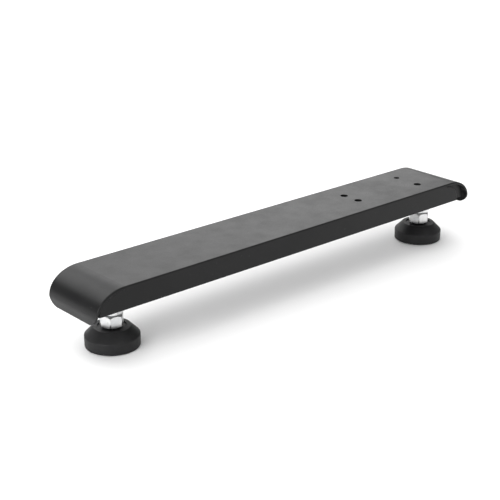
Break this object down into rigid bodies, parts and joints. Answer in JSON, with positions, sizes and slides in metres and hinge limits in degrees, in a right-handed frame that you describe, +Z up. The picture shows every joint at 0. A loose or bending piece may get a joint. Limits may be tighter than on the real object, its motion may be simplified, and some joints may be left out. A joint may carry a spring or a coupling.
{
  "type": "desk foot",
  "caption": "Long folded-steel desk foot with rounded ends on screw-adjustable swivel levelling glides, with a bolt pattern for a column near one end.",
  "frame": {"origin": "on the floor under the middle of the beam (bottom centre of the bounding box)", "axes": "+X along the beam towards the rear end with the column holes, +Y to the left, +Z up"},
  "size_m": [0.4924, 0.0728, 0.0704],
  "materials": {
    "powder_coat": "satin black powder coat on sheet steel",
    "zinc_plate": "bright zinc-plated steel",
    "spring_steel": "zinc-plated spring steel",
    "bright_steel": "turned steel",
    "nylon": "natural nylon",
    "black_polymer": "fine-textured black moulding",
    "rubber": "matt black rubber"
  },
  "bodies": {
    "root": {"foot_beam": "powder_coat", "column_plate": "powder_coat", "rear_gusset_left": "powder_coat", "rear_gusset_right": "powder_coat", "front_glide_bracket": "powder_coat", "front_weld_nut": "powder_coat", "rear_glide_bracket": "powder_coat", "rear_weld_nut": "powder_coat"},
    "front_ball": {"front_ball": "bright_steel"},
    "front_stud": {"front_levelling_stud": "zinc_plate"},
    "front_washer": {"front_lock_washer": "spring_steel"},
    "front_jam_nut": {"front_jam_nut": "zinc_plate"},
    "front_socket": {"front_ball_socket": "nylon"},
    "front_base": {"front_glide_base": "black_polymer", "front_anti_slip_pad": "rubber"},
    "rear_ball": {"rear_ball": "bright_steel"},
    "rear_stud": {"rear_levelling_stud": "zinc_plate"},
    "rear_washer": {"rear_lock_washer": "spring_steel"},
    "rear_jam_nut": {"rear_jam_nut": "zinc_plate"},
    "rear_socket": {"rear_ball_socket": "nylon"},
    "rear_base": {"rear_glide_base": "black_polymer", "rear_anti_slip_pad": "rubber"}
  },
  "joints": [
    {"name": "front_height", "type": "slide", "parent": "root", "child": "front_ball", "axis": [0, 0, 1], "range_m": [-0.008, 0.0018]},
    {"name": "front_stud_turn", "type": "hinge", "parent": "front_ball", "child": "front_stud", "pos_m": [-0.2055, 0, 0.04], "axis": [0, 0, 1], "range_deg": [-1700, 400]},
    {"name": "front_lock_travel", "type": "slide", "parent": "front_stud", "child": "front_washer", "axis": [0, 0, 1], "range_m": [-0.0007, 0.0065]},
    {"name": "front_jam_nut_turn", "type": "hinge", "parent": "front_washer", "child": "front_jam_nut", "pos_m": [-0.2055, 0, 0.0335], "axis": [0, 0, 1], "range_deg": [-180, 1400]},
    {"name": "front_tilt_side", "type": "hinge", "parent": "front_ball", "child": "front_socket", "pos_m": [-0.2055, 0, 0.0085], "axis": [1, 0, 0], "range_deg": [-6, 6]},
    {"name": "front_tilt_along", "type": "hinge", "parent": "front_socket", "child": "front_base", "pos_m": [-0.2055, 0, 0.0085], "axis": [0, 1, 0], "range_deg": [-6, 6]},
    {"name": "rear_height", "type": "slide", "parent": "root", "child": "rear_ball", "axis": [0, 0, 1], "range_m": [-0.008, 0.0018]},
    {"name": "rear_stud_turn", "type": "hinge", "parent": "rear_ball", "child": "rear_stud", "pos_m": [0.208, 0, 0.04], "axis": [0, 0, 1], "range_deg": [-1700, 400]},
    {"name": "rear_lock_travel", "type": "slide", "parent": "rear_stud", "child": "rear_washer", "axis": [0, 0, 1], "range_m": [-0.0007, 0.0065]},
    {"name": "rear_jam_nut_turn", "type": "hinge", "parent": "rear_washer", "child": "rear_jam_nut", "pos_m": [0.208, 0, 0.0335], "axis": [0, 0, 1], "range_deg": [-180, 1400]},
    {"name": "rear_tilt_side", "type": "hinge", "parent": "rear_ball", "child": "rear_socket", "pos_m": [0.208, 0, 0.0085], "axis": [1, 0, 0], "range_deg": [-6, 6]},
    {"name": "rear_tilt_along", "type": "hinge", "parent": "rear_socket", "child": "rear_base", "pos_m": [0.208, 0, 0.0085], "axis": [0, 1, 0], "range_deg": [-6, 6]}
  ],
  "couplings": [
    {"joint": "front_stud_turn", "follows": "front_height", "rad_per_m": 3590.4},
    {"joint": "front_jam_nut_turn", "follows": "front_lock_travel", "rad_per_m": 3590.4},
    {"joint": "rear_stud_turn", "follows": "rear_height", "rad_per_m": 3590.4},
    {"joint": "rear_jam_nut_turn", "follows": "rear_lock_travel", "rad_per_m": 3590.4}
  ]
}
